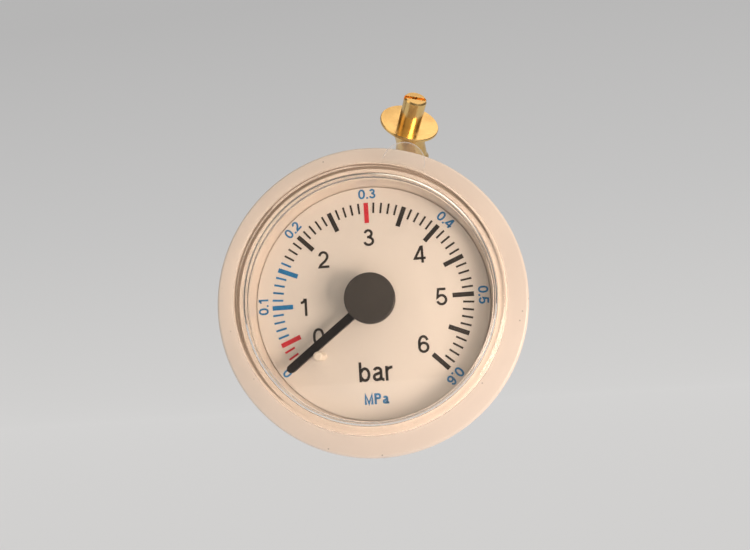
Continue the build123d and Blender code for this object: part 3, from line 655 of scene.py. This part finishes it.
def make_stage():
    """A pale floor that curves up into a backdrop, far from the object."""
    front_y, back_y, bend, top, half_width = -3.0, 1.6, 0.6, 2.4, 4.0
    bend_steps = 12
    profile = [(front_y, FLOOR_Z), (back_y - bend, FLOOR_Z)]
    for k in range(1, bend_steps + 1):
        a = math.radians(90 * k / bend_steps)
        profile.append((back_y - bend + bend * math.sin(a), FLOOR_Z + bend - bend * math.cos(a)))
    profile.append((back_y, top))
    points = [(side * half_width, y, z) for y, z in profile for side in (-1, 1)]
    faces = [(2 * i, 2 * i + 1, 2 * i + 3, 2 * i + 2) for i in range(len(profile) - 1)]
    floor = mesh_piece("stage_floor", points, faces, smooth=True)
    # It glows by itself, so that its brightness is even, and a little darker towards the top of the backdrop.
    s = Surface("stage", (0.08, 0.08, 0.08), 0.95, Emission_Strength=0.565)
    height = s.add("ShaderNodeSeparateXYZ")
    s.join(s.place, height.inputs[0])
    fade = s.ramp(height.outputs["Z"], (FLOOR_Z, 0.0), (1.2, 1.0))
    s.join(s.blend(fade, (1.0, 1.0, 1.0), (0.74, 0.74, 0.745)), s.shader.inputs["Emission Color"])
    floor.data.materials.append(s.material)


def soft_light(name, place, target, size, power, colour):
    """A round area light that the camera doesn't see."""
    data = bpy.data.lights.new(name, "AREA")
    data.shape = "DISK"
    data.size = size
    data.energy = power
    data.color = colour
    lamp = bpy.data.objects.new(name, data)
    lamp.location = place
    lamp.rotation_euler = (Vector(target) - Vector(place)).to_track_quat("-Z", "Y").to_euler()
    lamp.visible_camera = False
    bpy.context.scene.collection.objects.link(lamp)


class Studio:
    """The light from all round: a base colour with soft patches towards given directions."""

    def __init__(self, base):
        world = bpy.data.worlds.new("studio")
        world.use_nodes = True
        bpy.context.scene.world = world
        self.tree = world.node_tree
        self.direction = self.tree.nodes.new("ShaderNodeTexCoord").outputs["Generated"]
        start = self.tree.nodes.new("ShaderNodeRGB")
        start.outputs[0].default_value = (*base, 1.0)
        self.light = start.outputs[0]

    def mix(self, factor, target):
        made = self.tree.nodes.new("ShaderNodeMix")
        made.data_type = "RGBA"
        made.clamp_result = False
        self.tree.links.new(factor, made.inputs[0])
        self.tree.links.new(self.light, made.inputs[6])
        made.inputs[7].default_value = (*target, 1.0)
        self.light = made.outputs[2]

    def patch(self, towards, inner, outer, colour):
        """A patch that is full within the inner angle from its middle and gone at the outer one."""
        dot = self.tree.nodes.new("ShaderNodeVectorMath")
        dot.operation = "DOT_PRODUCT"
        self.tree.links.new(self.direction, dot.inputs[0])
        dot.inputs[1].default_value = Vector(towards).normalized()
        ramp = self.tree.nodes.new("ShaderNodeMapRange")
        ramp.interpolation_type = "SMOOTHSTEP"
        ramp.inputs["From Min"].default_value = math.cos(math.radians(outer))
        ramp.inputs["From Max"].default_value = math.cos(math.radians(inner))
        self.tree.links.new(dot.outputs["Value"], ramp.inputs["Value"])
        self.mix(ramp.outputs["Result"], colour)

    def finish(self, seen):
        """The camera sees a plain colour, and the object sees the patches."""
        path = self.tree.nodes.new("ShaderNodeLightPath")
        self.mix(path.outputs["Is Camera Ray"], seen)
        self.tree.links.new(self.light, self.tree.nodes["Background"].inputs["Color"])


def make_lights():
    """A dim warm room with two soft windows, and a small key light close to the right."""
    bpy.context.scene.view_settings.view_transform = "Standard"
    studio = Studio((0.18, 0.168, 0.16))
    above_behind, left = (0.05, 0.5, 1.0), (-1.0, 0.1, 0.1)
    right_window, left_window = (0.455, -0.31, 0.84), (-0.6, -0.7, 0.45)
    studio.patch(above_behind, 15, 42, (0.20, 0.13, 0.09))
    studio.patch(right_window, 14, 32, (2.4, 2.1, 1.75))
    studio.patch(left, 20, 75, (0.18, 0.15, 0.13))
    studio.patch(left_window, 8, 22, (1.3, 1.1, 0.8))
    studio.finish((0.60, 0.60, 0.60))
    soft_light("key", (0.092, -0.090, -0.036), (0.0, 0.0, 0.0), 0.07, 0.115, (1.0, 0.78, 0.63))


make_camera()
LOOKS = make_materials()

# Each CAD node keeps its slot, and the slot gets its finished material.
for node in NODES.values():
    slot_name = node.data.materials[0].name.split(".")[0]
    node.data.materials[0] = LOOKS[slot_name]
make_line(LOOKS["copper"])
make_print(LOOKS)
make_film(LOOKS["clear_film"])
make_tube(LOOKS["bronze_tube"])
make_stage()
make_lights()
